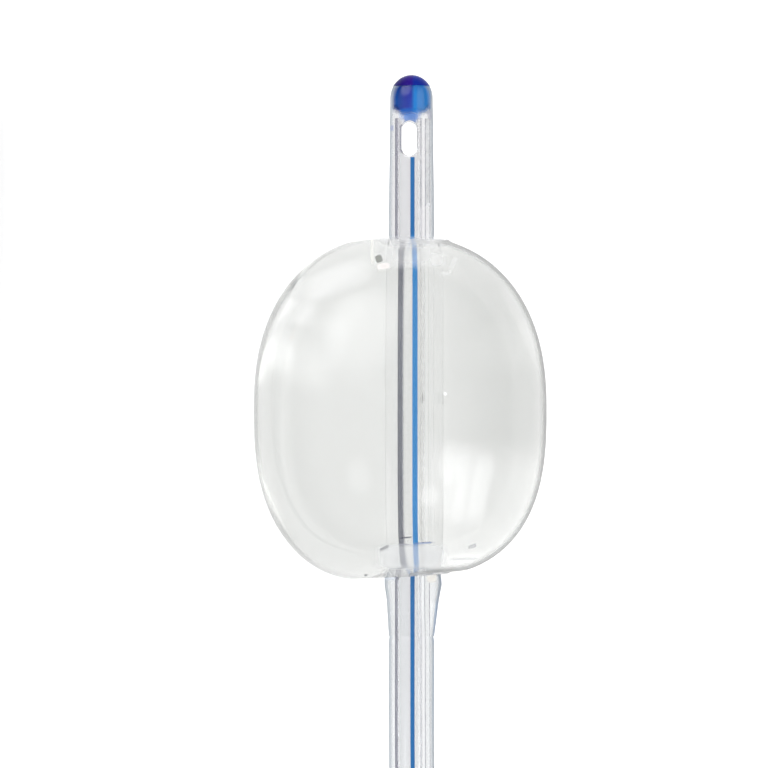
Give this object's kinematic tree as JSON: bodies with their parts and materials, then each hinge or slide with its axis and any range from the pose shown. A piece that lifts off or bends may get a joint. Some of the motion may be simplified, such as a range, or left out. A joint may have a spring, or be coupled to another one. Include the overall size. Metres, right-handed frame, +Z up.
{
  "type": "foley urinary catheter",
  "caption": "Two-way urinary catheter of clear silicone with a rounded blue tip, a drainage eye, a water-filled balloon, a Y funnel and an inflation valve, lying at rest.",
  "frame": {"origin": "centre of the footprint, on the surface that the catheter lies on", "axes": "+Z up; +Y from the return bend to the tip, along the straight end; the drainage eye and the stripe face +Z"},
  "size_m": [0.0972, 0.1855, 0.036],
  "materials": {
    "clear_silicone": "clear, slightly milky silicone, smooth with a soft gloss",
    "blue_silicone": "deep blue translucent silicone, glossy",
    "stripe": "blue line in the wall",
    "silicone_adhesive": "cloudy cured adhesive",
    "balloon_silicone": "thin clear stretched silicone, glossy",
    "water": "clear water",
    "moulded_silicone": "translucent moulded silicone, satin",
    "valve_shell": "moulded plastic in the size code's colour, light gloss",
    "valve_white": "white moulded plastic",
    "valve_rubber": "soft seal rubber",
    "spring_steel": "drawn stainless wire"
  },
  "bodies": {
    "catheter": {"shaft": "clear_silicone", "tip_plug": "blue_silicone", "radiopaque_stripe": "stripe", "distal_lumen_seal": "silicone_adhesive", "proximal_lumen_seal": "silicone_adhesive", "balloon": "balloon_silicone", "water_fill": "water", "y_funnel": "moulded_silicone", "valve_base": "valve_shell", "valve_luer": "valve_shell", "valve_spring": "spring_steel"},
    "stem": {"valve_stem": "valve_white", "valve_seal": "valve_rubber"}
  },
  "joints": [
    {"name": "stem_slide", "type": "slide", "parent": "catheter", "child": "stem", "axis": [0, -1, 0], "range_m": [0, 0.002], "stiffness_N_per_m": 400, "springref_m": -0.0015, "deforming": ["valve_spring"]}
  ]
}
